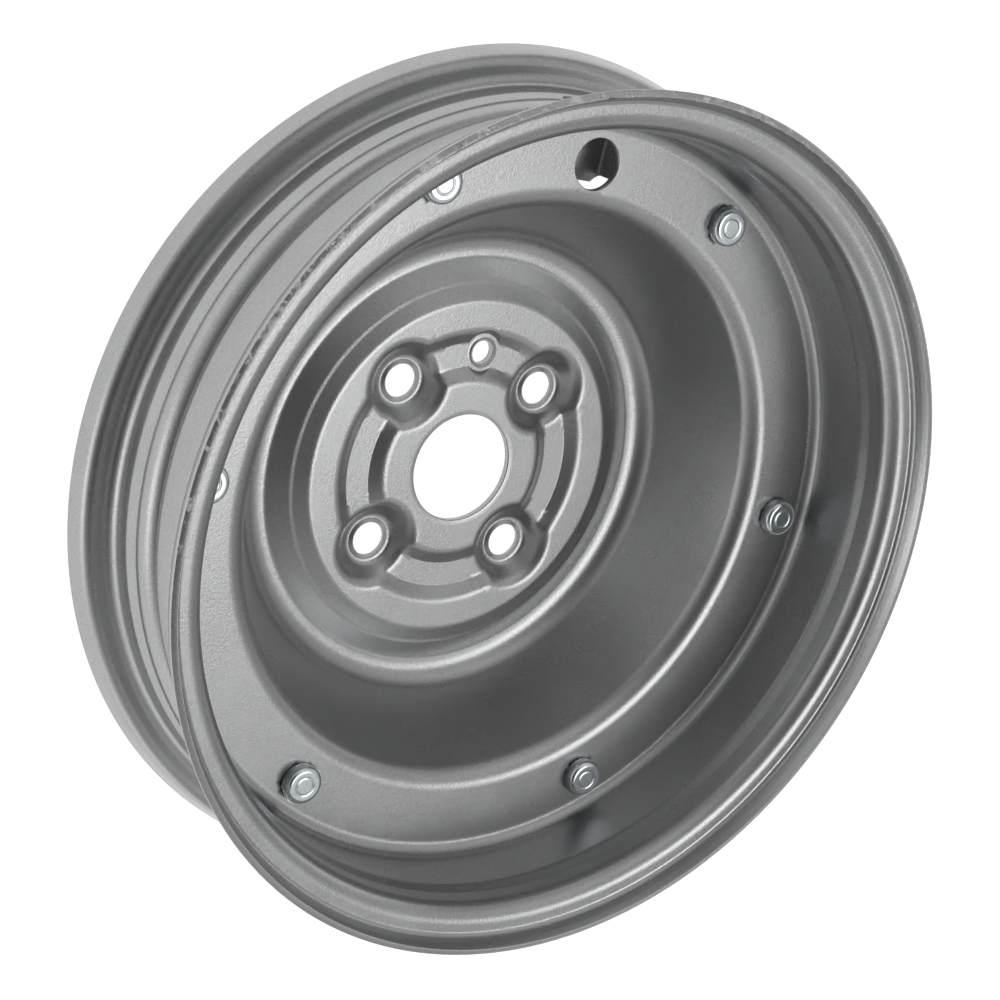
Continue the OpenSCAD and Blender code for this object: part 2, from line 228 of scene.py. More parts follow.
class StageLight(bpy.types.PropertyGroup):
    """Strengths of the studio's lights, where 1 shows as white."""

    key: strength("Key", "Brightness of the overhead softbox", 2.4)
    key_spread: angle("Key spread", "Half of the angle that the overhead softbox covers", 14)
    key_lean: angle("Key lean", "Angle between the overhead softbox's direction and the wheel's axis", 21)
    key_turn: angle("Key turn", "Turn of that direction round the axis", -15)
    high: strength("High panels", "Brightness of the panels above the wheel", 1.1)
    low: strength("Low panels", "Brightness of the panels at the floor's edge", 1.05)
    floor_glow: strength("Floor", "White of the floor that is seen", 0.95)


# Soft panels of the studio: azimuth and elevation in degrees, and brightness, of each
HIGH_PANELS = ((0, 66, 0.35), (20, 42, 0.25), (60, 42, 0.5), (100, 42, 0.5), (180, 42, 0.08), (260, 42, 0.15),
               (300, 42, 0.55), (340, 42, 0.2), (160, 18, 0.4), (240, 18, 0.55))
LOW_PANELS = ((20, -4, 1.4), (80, -4, 0.7), (140, -4, 0.75), (200, -4, 2.8), (260, -4, 1.4), (320, -4, 0.75))


def left_of(heading):
    """Unit vectors to the left of headings: a quarter turn on from the direction of travel."""
    return np.stack([-np.sin(heading), np.cos(heading)], -1)


def along(heading):
    """Unit vectors in the direction of travel."""
    return np.stack([np.cos(heading), np.sin(heading)], -1)


def corners(path):
    """The heading before each corner of a path and the turn there. Headings add up turns, so never wrap."""
    step = np.diff(path[:, :2], axis=0)
    heading = np.arctan2(step[:, 1], step[:, 0])
    turn = np.concatenate([[0], (np.diff(heading) + math.pi) % TAU - math.pi, [0]])
    before = heading[0] + np.concatenate([[0], np.cumsum(turn)[:-1]])
    return before, turn


def moved(path, distance):
    """A path moved to its left: each corner steps along its bisector, and its bend grows or shrinks too."""
    before, turn = corners(path)
    step = distance * (left_of(before) + left_of(before + turn)) / (1 + np.cos(turn))[:, None]
    bend = np.maximum(path[:, 2] - np.sign(turn) * distance, 0)
    return np.column_stack([path[:, :2] + step, bend])


def rounded(path, bend_step, gap_at):
    """Stations [r, z, heading] along a path: arcs at its corners, and straights filled at a gap by radius."""
    before, turn = corners(path)
    arcs = []
    for point, start, swing in zip(path, before, turn):
        steps = math.ceil(abs(swing) / bend_step - 1e-6)
        heading = start + swing * np.arange(steps + 1) / max(steps, 1)
        side = math.copysign(point[2], swing) if steps else 0.0
        centre = point[:2] - abs(side) * math.tan(abs(swing) / 2) * along(start) + side * left_of(start)
        arcs.append(np.column_stack([centre - side * left_of(heading), heading]))
    found = np.vstack(arcs)
    guard = 0.4 * MM
    filled = [found[:1]]
    for a, b in zip(found[:-1], found[1:]):
        span = np.hypot(*(b[:2] - a[:2]))
        share = np.array([1.0])
        if span > 4 * guard:
            inside = np.linspace(guard, span - guard, max(math.ceil(span / gap_at((a[0] + b[0]) / 2)), 2))
            share = np.append(inside / span, 1.0)
        filled.append(a + (b - a) * share[:, None])
    return np.vstack(filled)


def sheet_sides(stations, sheet, edge, edge_steps=4):
    """Both faces of a sheet along its stations, as [r, z] rows, with quarter rounds at its ends' corners.

    The outer face is the station itself and the inner face lies one sheet to its right.
    """
    normal = left_of(stations[:, 2])
    quarter = np.linspace(0, math.pi / 2, edge_steps)[:, None]
    start_out, end_out = -along(stations[0, 2]), along(stations[-1, 2])

    def corner(point, out, side):
        return point - edge * (out + side) + edge * (out * np.cos(quarter) + side * np.sin(quarter))

    def face(points, side):
        clear = 1.5 * edge
        near = np.minimum(np.hypot(*(points - points[0]).T), np.hypot(*(points - points[-1]).T)) < clear
        ends = corner(points[0], start_out, side[0]), corner(points[-1], end_out, side[-1])[::-1]
        rows = np.vstack([ends[0], points[~near], ends[1]])
        apart = np.hypot(*np.diff(rows, axis=0).T) > 0.02 * MM
        return rows[np.append(True, apart)]

    return face(stations[:, :2], normal), face(stations[:, :2] - sheet * normal, -normal)


def around(rows, columns):
    """Rows [r, z] turned round the Z axis, as rows x columns x 3 points."""
    turn = TAU * np.arange(columns) / columns
    r, z = rows[:, :1], rows[:, 1:]
    return np.stack([r * np.cos(turn), r * np.sin(turn), z + 0 * turn], -1)


def rings_about(centre, reach, columns, height):
    """Rings round an upright axis through centre: one per distance in reach, at heights height(x, y, d)."""
    turn = TAU * np.arange(columns) / columns
    d = np.asarray(reach)[:, None] + 0 * turn
    x, y = centre[0] + d * np.cos(turn), centre[1] + d * np.sin(turn)
    return np.stack([x, y, height(x, y, d)], -1)


def level_rings(centre, rows, columns):
    """Rings round an upright axis, one per [distance, height] row."""
    turn = TAU * np.arange(columns) / columns
    d, z = rows[:, :1], rows[:, 1:]
    return np.stack([centre[0] + d * np.cos(turn), centre[1] + d * np.sin(turn), z + 0 * turn], -1)


def smooth_least(a, b, blend):
    """The lesser of two heights, with the crease between them rounded over the blend height."""
    width = np.maximum(blend, 1e-9)
    near = np.clip(1 - np.abs(a - b) / width, 0, 1)
    return np.minimum(a, b) - near * near * width / 4


def height_by_radius(rows, low, high):
    """Height of a profile as a function of radius, between two radii where it has one height at each."""
    kept = rows[(rows[:, 0] > low) & (rows[:, 0] < high)]
    order = np.argsort(kept[:, 0])
    return lambda r: np.interp(r, kept[order, 0], kept[order, 1])


class Skin:
    """A closed surface put together from laid rings, openings in them and stitched seams.

    Rings run anticlockwise seen from above. Each quad goes along its first ring and back along the second,
    so a face points up where the second ring lies inside the first, and down where it lies outside.
    """

    def __init__(self):
        self.points = np.zeros((0, 3))
        self.blocks = []
        self.triangles = []

    def lay(self, rings, closed=False):
        """Adds rings joined by quads and returns their point numbers, rows x columns."""
        rows, columns = rings.shape[:2]
        index = len(self.points) + np.arange(rows * columns).reshape(rows, columns)
        self.points = np.vstack([self.points, rings.reshape(-1, 3)])
        first = index if closed else index[:-1]
        second = np.roll(index, -1, axis=0) if closed else index[1:]
        quads = np.stack([first, np.roll(first, -1, 1), np.roll(second, -1, 1), second], -1)
        self.blocks.append(quads.reshape(-1, 4))
        return index

    def open(self, block, centre, reach):
        """Takes out a block's quads within reach of centre and returns the loop of points left round them."""
        quads = self.blocks[block]
        near = np.hypot(*(self.points[:, :2] - centre[:2]).T) < reach
        inside = near[quads].any(axis=1)
        self.blocks[block] = quads[~inside]
        return np.intersect1d(quads[inside], quads[~inside])

    def stitch(self, first, second, centre=(0.0, 0.0)):
        """Joins two rings of any counts: both are put in order of angle round centre, and each point closes a
        triangle with the one before it on its ring and the latest point of the other ring."""
        order = []
        for ring in (first, second):
            x, y = (self.points[ring, :2] - centre[:2]).T
            turn = np.arctan2(y, x)
            sort = np.argsort(turn)
            order.append((ring[sort], turn[sort]))
        (a, turn_a), (b, turn_b) = order
        of_b = (np.searchsorted(turn_b, turn_a, side="left") - 1) % len(b)
        of_a = (np.searchsorted(turn_a, turn_b, side="right") - 1) % len(a)
        self.triangles.append(np.stack([np.roll(a, 1), a, b[of_b]], -1))
        self.triangles.append(np.stack([b, np.roll(b, 1), a[of_a]], -1))

    def line_hole(self, centre, front_reach, back_reach, *sets):
        """Opens the front (block 0) and the back (block 1) round centre and joins sets of rings between."""
        laid = [self.lay(rings) for rings in sets]
        edges = [self.open(0, centre, front_reach)]
        for index in laid:
            edges += [index[0], index[-1]]
        edges.append(self.open(1, centre, back_reach))
        for first, second in zip(edges[::2], edges[1::2]):
            self.stitch(first, second, centre)

    def close_pole(self, ring, point, first):
        """Closes a ring with a fan to one point, which comes before the ring if first is true."""
        pole = len(self.points)
        self.points = np.vstack([self.points, [point]])
        after = np.roll(ring, -1)
        sides = (after, ring) if first else (ring, after)
        self.triangles.append(np.stack([sides[0], sides[1], np.full(len(ring), pole)], -1))

    def mesh(self, name):
        """The surface as a mesh, without points that no face uses."""
        quads = np.vstack(self.blocks)
        triangles = np.vstack(self.triangles) if self.triangles else np.zeros((0, 3), int)
        loops = np.concatenate([quads.ravel(), triangles.ravel()])
        used, loops = np.unique(loops, return_inverse=True)
        points = self.points[used]
        starts = np.concatenate([4 * np.arange(len(quads)), 4 * len(quads) + 3 * np.arange(len(triangles))])
        mesh = bpy.data.meshes.new(name)
        mesh.vertices.add(len(points))
        mesh.vertices.foreach_set("co", points.astype(np.float32).ravel())
        mesh.loops.add(len(loops))
        mesh.loops.foreach_set("vertex_index", loops.astype(np.int32).ravel())
        mesh.polygons.add(len(starts))
        mesh.polygons.foreach_set("loop_start", starts.astype(np.int32))
        mesh.update(calc_edges=True)
        mesh.validate()
        mesh.shade_smooth()
        return mesh


def mesh_points(mesh):
    """A mesh's points as rows of x, y, z."""
    points = np.empty(3 * len(mesh.vertices), np.float32)
    mesh.vertices.foreach_get("co", points)
    return points.reshape(-1, 3)


def add_piece(mesh, material, slot_name, *nodes):
    """Puts a finished mesh in the scene on the wheel's one body, in place of the nodes it stands for."""
    mesh.materials.clear()
    mesh.materials.append(material)
    piece = bpy.data.objects.new(mesh.name, mesh)
    bpy.context.scene.collection.objects.link(piece)
    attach(piece, "root")
    if nodes:
        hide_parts(*nodes)
    return piece


def edge_closeness(points, circles):
    """How near each point is to the nearest of some circles [x, y, radius, height, fade]: 1 on one, 0 past
    its fade."""
    best = np.zeros(len(points))
    for x, y, radius, height, fade in circles:
        aside = np.hypot(points[:, 0] - x, points[:, 1] - y) - radius
        best = np.maximum(best, np.clip(1 - np.hypot(aside, points[:, 2] - height) / fade, 0, 1))
    return best


def toward(points, azimuth, share):
    """A factor per point: 1 + share on the side of the wheel at an azimuth, 1 - share on the opposite one."""
    turn = np.arctan2(points[:, 1], points[:, 0])
    return 1 + share * np.cos(turn - azimuth)


def write_attribute(mesh, name, values):
    """Stores one number per point under a name that a material can read."""
    mesh.attributes.new(name, "FLOAT", "POINT").data.foreach_set("value", values.astype(np.float32))


def rim_path(shape, barrel):
    """Tyre side of a rim half as corners [r, z, bend], from its lip's edge at z = 0 down to the joint."""
    seat_end = shape.seat_radius - shape.seat_length * math.tan(shape.seat_taper)
    barrel_r = shape.seat_radius - shape.barrel_drop
    lip_r = shape.seat_radius + shape.flange_height
    depth = shape.lip_reach + shape.seat_length
    slope_turn = math.atan2(seat_end - barrel_r, shape.slope_length)
    tangent = shape.slope_bend * math.tan(slope_turn / 2)
    return np.array([
        [lip_r, 0, 0],
        [lip_r - shape.lip_reach * math.tan(shape.lip_flare), -shape.lip_reach, shape.lip_bend],
        [shape.seat_radius, -shape.lip_reach, shape.seat_bend],
        [seat_end, -depth, shape.slope_bend],
        [barrel_r, -depth - shape.slope_length, shape.slope_bend],
        [barrel_r, -depth - shape.slope_length - barrel, min(shape.barrel_bend, barrel - tangent)],
    ])


def disc_path(shape, stud):
    """Back of the disc half as corners [r, z, bend], from its lip over bowl and channel to the bore."""
    top = shape.joint_height + shape.sheet
    hub_z = shape.sheet + shape.hub_rise
    sharp = 0.3 * MM
    ledge_z = shape.sheet + shape.ledge_rise
    ledge_tilt = 0.15 * MM
    half = shape.channel_width / 2
    run = shape.channel_depth / math.tan(shape.channel_slope)
    front = np.array([
        [shape.seat_radius - shape.barrel_drop, top, 0],
        [shape.bowl_top, top, shape.bowl_top_bend],
        [shape.bowl_foot, shape.sheet, shape.bowl_foot_bend],
        [shape.valley, shape.sheet, shape.valley_bend],
        [shape.ledge_outer, ledge_z - ledge_tilt, 3 * MM],
        [shape.ledge_inner, ledge_z + ledge_tilt, 2 * MM],
        [shape.hub_radius, hub_z, shape.hub_round],
        [stud.circle + half + run, hub_z, shape.channel_round],
        [stud.circle + half, hub_z - shape.channel_depth, sharp],
        [stud.circle - half, hub_z - shape.channel_depth, sharp],
        [stud.circle - half - run, hub_z, shape.channel_round],
        [shape.bore, hub_z, 0],
    ])
    rim = rim_path(shape, shape.front_barrel)
    rim[:, 1] += shape.joint_height - rim[-1, 1]
    return np.vstack([rim, moved(front, shape.sheet)[1:]])


def pocket_path(shape, stud):
    """Back of a stud pocket as corners [distance from the stud's axis, z, bend]."""
    foot = stud.seat + stud.level_rim
    run = shape.hub_rise / math.tan(stud.wall_slope)
    hub_z = shape.sheet + shape.hub_rise
    front = np.array([
        [foot + run + 2 * stud.wall_round, hub_z, 0],
        [foot + run, hub_z, stud.wall_round],
        [foot, shape.sheet, stud.wall_foot],
        [0, shape.sheet, 0],
    ])
    return moved(front, shape.sheet)


def polar(radius, turn):
    """The point at a radius and a turn round the wheel's axis."""
    return np.array([radius * math.cos(turn), radius * math.sin(turn)])


def bolt_places(bolts):
    """Centres of the bolts."""
    return [polar(bolts.circle, TAU * i / bolts.count) for i in range(bolts.count)]


def stud_places(stud):
    """Centres of the four stud holes."""
    return [polar(stud.circle, stud.turn + TAU * i / 4) for i in range(4)]


def disc_gap(radius):
    """Gap between rings of the disc half's front: fine over the hub, medium on the flange, wide elsewhere."""
    hub_edge, flange_inner, flange_outer = 58 * MM, 97 * MM, 119 * MM
    if radius < hub_edge:
        return 1.5 * MM
    return 2.4 * MM if flange_inner < radius < flange_outer else 5 * MM


def bolt_holes(skin, bolts, front, back):
    """Opens the bolt holes between the heights of a sheet's front and back."""
    rows = np.array([[bolts.hole, front], [bolts.hole, back]])
    reach = 5.2 * MM
    for centre in bolt_places(bolts):
        skin.line_hole(centre, reach, reach, level_rings(centre, rows, 48))


def stud_pockets(skin, shape, stud, hub_front, hub_back):
    """The four pockets: a wall is the lesser of the hub's height and the pocket's, with the crease between
    them rounded, and a raised seat that slopes up to the hole's edge stands in the floor."""
    pocket = rounded(pocket_path(shape, stud), math.radians(3), lambda r: 0.4 * MM)
    pocket_back = height_by_radius(pocket[:, :2], 0, 1)
    pocket_front = height_by_radius(pocket[:, :2] - shape.sheet * left_of(pocket[:, 2]), 0, 1)
    hub_z = shape.sheet + shape.hub_rise
    crease = 1.9 * MM

    def front_height(x, y, d):
        a, b = hub_front(np.hypot(x, y)), pocket_front(d)
        depth = hub_z - np.minimum(a, b)
        return smooth_least(a, b, crease * np.clip(depth / MM, 0, 1))

    def back_height(x, y, d):
        return np.minimum(hub_back(np.hypot(x, y)), pocket_back(d))

    e = 0.12 * MM
    floor, rim = shape.sheet, shape.sheet + stud.seat_rise
    under_rim = rim - stud.land
    seat_rows = np.array([
        [stud.seat + 0.30 * MM, floor], [stud.seat + 0.6 * e, floor + 0.3 * e],
        [stud.seat, floor + 0.6 * stud.seat_step], [stud.seat - 0.5 * e, floor + stud.seat_step],
        [stud.seat - 1.5 * e, floor + 1.2 * stud.seat_step], [stud.hole + 3 * e, rim - 0.8 * e],
        [stud.hole + 1.2 * e, rim], [stud.hole, rim - 1.2 * e], [stud.hole, under_rim + e],
        [stud.hole + e, under_rim], [stud.seat - 2 * e, 2 * e], [stud.seat, 0.3 * e],
        [stud.seat + 0.06 * MM, 0],
    ])
    # The wall's rings go from the hub's flat down to the floor, closer together near the foot
    wall_reach = np.concatenate([np.linspace(16.3, 9.2, 18), np.linspace(8.9, 7.4, 9)]) * MM
    under_reach = np.linspace(stud.seat + stud.level_rim - 1.5 * MM, 17.2 * MM, 14)
    front_reach, back_reach = 17.1 * MM, 17.8 * MM
    for centre in stud_places(stud):
        wall = rings_about(centre, wall_reach, 120, front_height)
        hole = level_rings(centre, seat_rows, 120)
        under = rings_about(centre, under_reach, 96, back_height)
        skin.line_hole(centre, front_reach, back_reach, wall, hole, under)


def locating_hole(skin, shape, stud, hub_front, hub_back):
    """The small hole: a collar on a level spot, whose steep side is cut into the channel's wall."""
    side_slope = math.tan(math.radians(62))
    channel_z = shape.sheet + shape.hub_rise - shape.channel_depth

    def spot_height(x, y, d):
        rise = channel_z + np.maximum(d - stud.spot, 0) * side_slope
        return smooth_least(hub_front(np.hypot(x, y)), rise, 0.8 * MM * np.clip((d - stud.spot) / MM, 0, 1))

    def under_height(x, y, d):
        return hub_back(np.hypot(x, y))

    centre = polar(stud.locating_circle, stud.locating_turn)
    h = stud.collar_height
    e = 0.12 * MM
    bore = stud.locating_hole
    collar_rows = np.array([
        [stud.collar + 0.15 * MM, channel_z], [stud.collar, channel_z + 0.1 * h],
        [stud.collar - e, channel_z + 0.6 * h], [stud.collar - 0.4 * MM, channel_z + h],
        [bore + 0.35 * MM, channel_z + 1.05 * h], [bore + 0.1 * MM, channel_z + 0.9 * h],
        [bore, channel_z + 0.5 * h], [bore, channel_z - shape.sheet + e], [bore + e, channel_z - shape.sheet],
    ])
    spot = rings_about(centre, np.linspace(8.1, 5.7, 12) * MM, 120, spot_height)
    hole = level_rings(centre, collar_rows, 120)
    under = rings_about(centre, np.array([4.3, 5.0, 5.7]) * MM, 72, under_height)
    skin.line_hole(centre, 8.6 * MM, 5.9 * MM, spot, hole, under)


def valve_hole(skin, shape, flange_front):
    """The valve hole, with both edges broken."""

    def brim_height(x, y, d):
        return flange_front(np.hypot(x, y))

    top, joint = shape.joint_height + shape.sheet, shape.joint_height
    centre = np.array([0.0, shape.valve_circle])
    r, e = shape.valve_radius, 0.25 * MM
    rows = np.array([
        [r + e, top], [r + 0.3 * e, top - 0.3 * e], [r, top - e],
        [r, joint + e], [r + 0.3 * e, joint + 0.3 * e], [r + e, joint],
    ])
    brim = rings_about(centre, np.array([8.9, 8.7, 8.5]) * MM, 120, brim_height)
    skin.line_hole(centre, 9.3 * MM, 8.6 * MM, brim, level_rings(centre, rows, 120))


def disc_skin(shape, stud, bolts):
    """The disc half: its sheet turned round the axis, with each pocket and hole laid in as rings."""
    front_columns, back_columns = 280, 180
    path = disc_path(shape, stud)
    fine = rounded(path, math.radians(3), lambda r: 0.5 * MM)
    fine_back, fine_front = sheet_sides(fine, shape.sheet, shape.cut_edge)
    front_rows = sheet_sides(rounded(path, math.radians(6), disc_gap), shape.sheet, shape.cut_edge)[1]
    back_rows = sheet_sides(
        rounded(path, math.radians(10), lambda r: 2 * disc_gap(r)), shape.sheet, shape.cut_edge
    )[0]
    skin = Skin()
    front = skin.lay(around(front_rows, front_columns))
    back = skin.lay(around(back_rows[::-1], back_columns))
    skin.stitch(front[-1], back[0])
    skin.stitch(back[-1], front[0])

    hub_front = height_by_radius(fine_front, shape.bore + 0.5 * MM, shape.hub_radius)
    hub_back = height_by_radius(fine_back, shape.bore + 0.5 * MM, shape.hub_radius)
    flange_front = height_by_radius(fine_front, 96.5 * MM, 117.9 * MM)
    stud_pockets(skin, shape, stud, hub_front, hub_back)
    locating_hole(skin, shape, stud, hub_front, hub_back)
    valve_hole(skin, shape, flange_front)
    bolt_holes(skin, bolts, shape.joint_height + shape.sheet, shape.joint_height)
    return skin


def ring_gap(radius):
    """Gap between rings of the ring half: medium on its flange, wide elsewhere."""
    flange_outer = 117 * MM
    return 1.8 * MM if radius < flange_outer else 4 * MM


def ring_skin(shape, bolts):
    """The ring half's sheet turned round the axis, standing on its lip, with its bolt holes."""
    columns = 320
    path = rim_path(shape, shape.rear_barrel)
    path = np.vstack([path, [shape.ring_bore, path[-1, 1], 0]])
    stations = rounded(path, math.radians(7), ring_gap)
    outer_rows, inner_rows = sheet_sides(stations, shape.sheet, shape.cut_edge)
    skin = Skin()

    def upright(rows):
        return np.column_stack([rows[:, 0], shape.joint_height + path[-1, 1] - rows[:, 1]])

    outer = skin.lay(around(upright(outer_rows), columns))
    inner = skin.lay(around(upright(inner_rows[::-1]), columns))
    skin.stitch(outer[-1], inner[0])
    skin.stitch(inner[-1], outer[0])
    bolt_holes(skin, bolts, shape.joint_height, shape.joint_height - shape.sheet)
    return skin


def prism(name, outline, low, high, axes):
    """A closed prism as a helper object: an outline in two axes, carried along the third."""
    count = len(outline)
    points = np.zeros((2, count, 3))
    points[:, :, axes[0]], points[:, :, axes[1]] = outline[:, 0], outline[:, 1]
    points[0, :, axes[2]], points[1, :, axes[2]] = low, high
    index = np.arange(2 * count).reshape(2, count)
    sides = np.stack([index[0], np.roll(index[0], -1), np.roll(index[1], -1), index[1]], -1)
    mesh = bpy.data.meshes.new(name)
    mesh.from_pydata(points.reshape(-1, 3), [], [list(index[0][::-1]), list(index[1])] + sides.tolist())
    work = bmesh.new()
    work.from_mesh(mesh)
    bmesh.ops.recalc_face_normals(work, faces=work.faces)
    work.to_mesh(mesh)
    work.free()
    helper = bpy.data.objects.new(name, mesh)
    bpy.context.scene.collection.objects.link(helper)
    return helper


def rounded_box(low, high, radius, steps=6):
    """Outline of a box whose two lower corners are rounded, anticlockwise from its upper left corner."""
    turn = np.linspace(0, math.pi / 2, steps)
    left = np.column_stack([low[0] + radius * (1 - np.cos(turn)), low[1] + radius * (1 - np.sin(turn))])
    right = np.column_stack([high[0] - radius * (1 - np.sin(turn)), low[1] + radius * (1 - np.cos(turn))])
    return np.vstack([[low[0], high[1]], left, right, [high[0], high[1]]])


def combine(target, other, operation):
    """Applies a boolean of one helper to a target mesh and removes the helper."""
    modifier = target.modifiers.new("combine", "BOOLEAN")
    modifier.operation = operation
    modifier.solver = "EXACT"
    modifier.object = other
    evaluated = target.evaluated_get(bpy.context.evaluated_depsgraph_get())
    result = bpy.data.meshes.new_from_object(evaluated)
    target.modifiers.clear()
    target.data = result
    bpy.data.objects.remove(other)


def ring_with_trough(skin, shape):
    """The ring half with its valve trough: a rounded section joined inside the barrel and cut through."""
    mesh = skin.mesh("ring_half_pressing")
    ring = bpy.data.objects.new("ring_work", mesh)
    bpy.context.scene.collection.objects.link(ring)
    half, sheet = shape.trough_width / 2, shape.sheet
    floor = shape.joint_height - shape.trough_depth
    barrel_mid = shape.seat_radius - shape.barrel_drop - sheet / 2
    bend_mid = shape.barrel_bend - sheet / 2
    turn = np.linspace(0, math.pi / 2, 8)
    inner_end = shape.ring_bore + 0.2 * MM
    outer_round, inner_round = 3.8 * MM, 1.5 * MM
    flange_mid = shape.joint_height - sheet / 2
    bend = np.column_stack([
        barrel_mid - bend_mid * (1 - np.cos(turn)), flange_mid - bend_mid * (1 - np.sin(turn))
    ])
    end = np.vstack([
        [inner_end, floor - sheet], [barrel_mid, floor - sheet], bend,
        [inner_end, flange_mid],
    ])
    body = prism("trough_body", end, -half - sheet, half + sheet, (1, 2, 0))
    section = rounded_box((-half - sheet, floor - sheet), (half + sheet, shape.joint_height), outer_round)
    wrap = prism("trough_wrap", section, 0.05, 0.16, (0, 2, 1))
    combine(body, wrap, "INTERSECT")
    space = rounded_box((-half, floor), (half, shape.joint_height + 10 * MM), inner_round)
    combine(ring, body, "UNION")
    combine(ring, prism("trough_space", space, 0.06, 0.15, (0, 2, 1)), "DIFFERENCE")
    cut, past = shape.trough_chamfer, 3 * MM
    for side in (-1, 1):
        edge = side * (half + sheet)
        corner = np.array([
            [edge + side * past, shape.ring_bore - past], [edge + side * past, shape.ring_bore + cut + past],
            [edge - side * (cut + past), shape.ring_bore - past],
        ])
        if side < 0:
            corner = corner[::-1]
        under = shape.joint_height - sheet - 0.5 * MM
        combine(ring, prism("trough_corner", corner, floor - sheet - past, under, (0, 1, 2)), "DIFFERENCE")
    mesh = ring.data
    mesh.name = "ring_half_pressing"
    bpy.data.objects.remove(ring)
    mesh.shade_smooth()
    mesh.set_sharp_from_angle(angle=math.radians(32))
    return mesh


def thread_radius(radius, depth, pitch, z, turn):
    """A thread's radius: it falls by the depth at half a pitch from the helix, as a triangle wave."""
    phase = (z / pitch - turn / TAU) % 1.0
    return radius - depth * np.clip(1.25 * np.abs(2 * phase - 1) - 0.125, 0, 1)


def bolt_mesh(name, centre, shape, bolts):
    """A bolt: rows [r, z] from the middle of its end up its threaded shank, over its head and in again."""
    columns = 72
    turn = TAU * np.arange(columns) / columns
    height = bolts.head_height
    top = shape.joint_height + shape.sheet
    nut_z = shape.joint_height - shape.sheet - bolts.washer_thickness - bolts.nut_height
    end = nut_z - bolts.stub
    thread_end, step = nut_z + 2.5 * MM, 0.14 * MM
    zs = np.arange(end, thread_end, step)
    z = zs[:, None] + 0 * turn
    r = thread_radius(bolts.shank, bolts.thread_depth, bolts.pitch, z, turn)
    r = np.minimum(r, bolts.shank - bolts.chamfer + (z - end))
    stem = np.stack([centre[0] + r * np.cos(turn), centre[1] + r * np.sin(turn), z], -1)
    quarter = np.linspace(0, math.pi / 2, 8)
    rim = np.column_stack([
        bolts.head - bolts.head_round * (1 - np.cos(quarter)),
        height - bolts.head_round * (1 - np.sin(quarter)),
    ])
    g, w, d = bolts.groove, bolts.groove_width / 2, bolts.groove_depth
    e = 0.12 * MM
    rows = np.vstack([
        [[bolts.shank, zs[-1] + 0.3 * MM - top], [bolts.shank, 0], [bolts.head - 4 * e, 0],
         [bolts.head - 3 * e, 0.5 * e], [bolts.head - e, 3 * e], [bolts.head, 5 * e]],
        rim,
        [[bolts.head - bolts.head_round - 2 * e, height], [g + w + 3 * e, height], [g + w + e, height],
         [g + w, height - e / 2], [g + w - e / 2, height - d + e / 3], [g + w - 1.5 * e, height - d],
         [g - w + 1.5 * e, height - d], [g - w + e / 2, height - d + e / 3], [g - w, height - e / 2],
         [g - w - e, height], [g - w - 3 * e, height], [0.6 * MM, height]],
    ])
    rows[:, 1] += top
    skin = Skin()
    index = skin.lay(np.concatenate([stem, level_rings(centre, rows, columns)]))
    skin.close_pole(index[0], [centre[0], centre[1], end], True)
    skin.close_pole(index[-1], [centre[0], centre[1], top + height], False)
    mesh = skin.mesh(name)
    mesh.set_sharp_from_angle(angle=math.radians(50))
    return mesh


def washer_mesh(name, centre, shape, bolts):
    """A spring washer: a rounded square section carried nearly once round, its ends slanted at the split."""
    inner, outer, thick = bolts.washer_bore, bolts.washer, bolts.washer_thickness
    soft = 0.18 * MM
    turn = np.linspace(0, math.pi / 2, 4)
    corner = [(outer - soft, soft, -90), (outer - soft, thick - soft, 0), (inner + soft, thick - soft, 90),
              (inner + soft, soft, 180)]
    section = np.vstack([
        np.array([r, z]) + soft * along(turn + math.radians(start)) for r, z, start in corner
    ])
    columns = 90
    share = np.linspace(0, 1, columns)
    r, z = section[:, :1], section[:, 1:]
    lean = math.tan(bolts.washer_slant) * (z - thick / 2)
    start = np.arcsin((bolts.washer_gap / 2 - lean) / r)
    stop = TAU - np.arcsin((bolts.washer_gap / 2 + lean) / r)
    around_turn = start + (stop - start) * share
    base = shape.joint_height - shape.sheet - thick
    x, y = centre[0] + r * np.cos(around_turn), centre[1] + r * np.sin(around_turn)
    rings = np.stack([x, y, base + z + 0 * share], -1)
    skin = Skin()
    rows = len(section)
    index = np.arange(rows * columns).reshape(rows, columns)
    skin.points = rings.reshape(-1, 3)
    below = np.roll(index, -1, axis=0)
    quads = np.stack([index[:, :-1], index[:, 1:], below[:, 1:], below[:, :-1]], -1)
    skin.blocks.append(quads.reshape(-1, 4))
    for column, first in ((0, False), (-1, True)):
        skin.close_pole(index[:, column], rings[:, column].mean(axis=0), first)
    mesh = skin.mesh(name)
    mesh.set_sharp_from_angle(angle=math.radians(45))
    return mesh


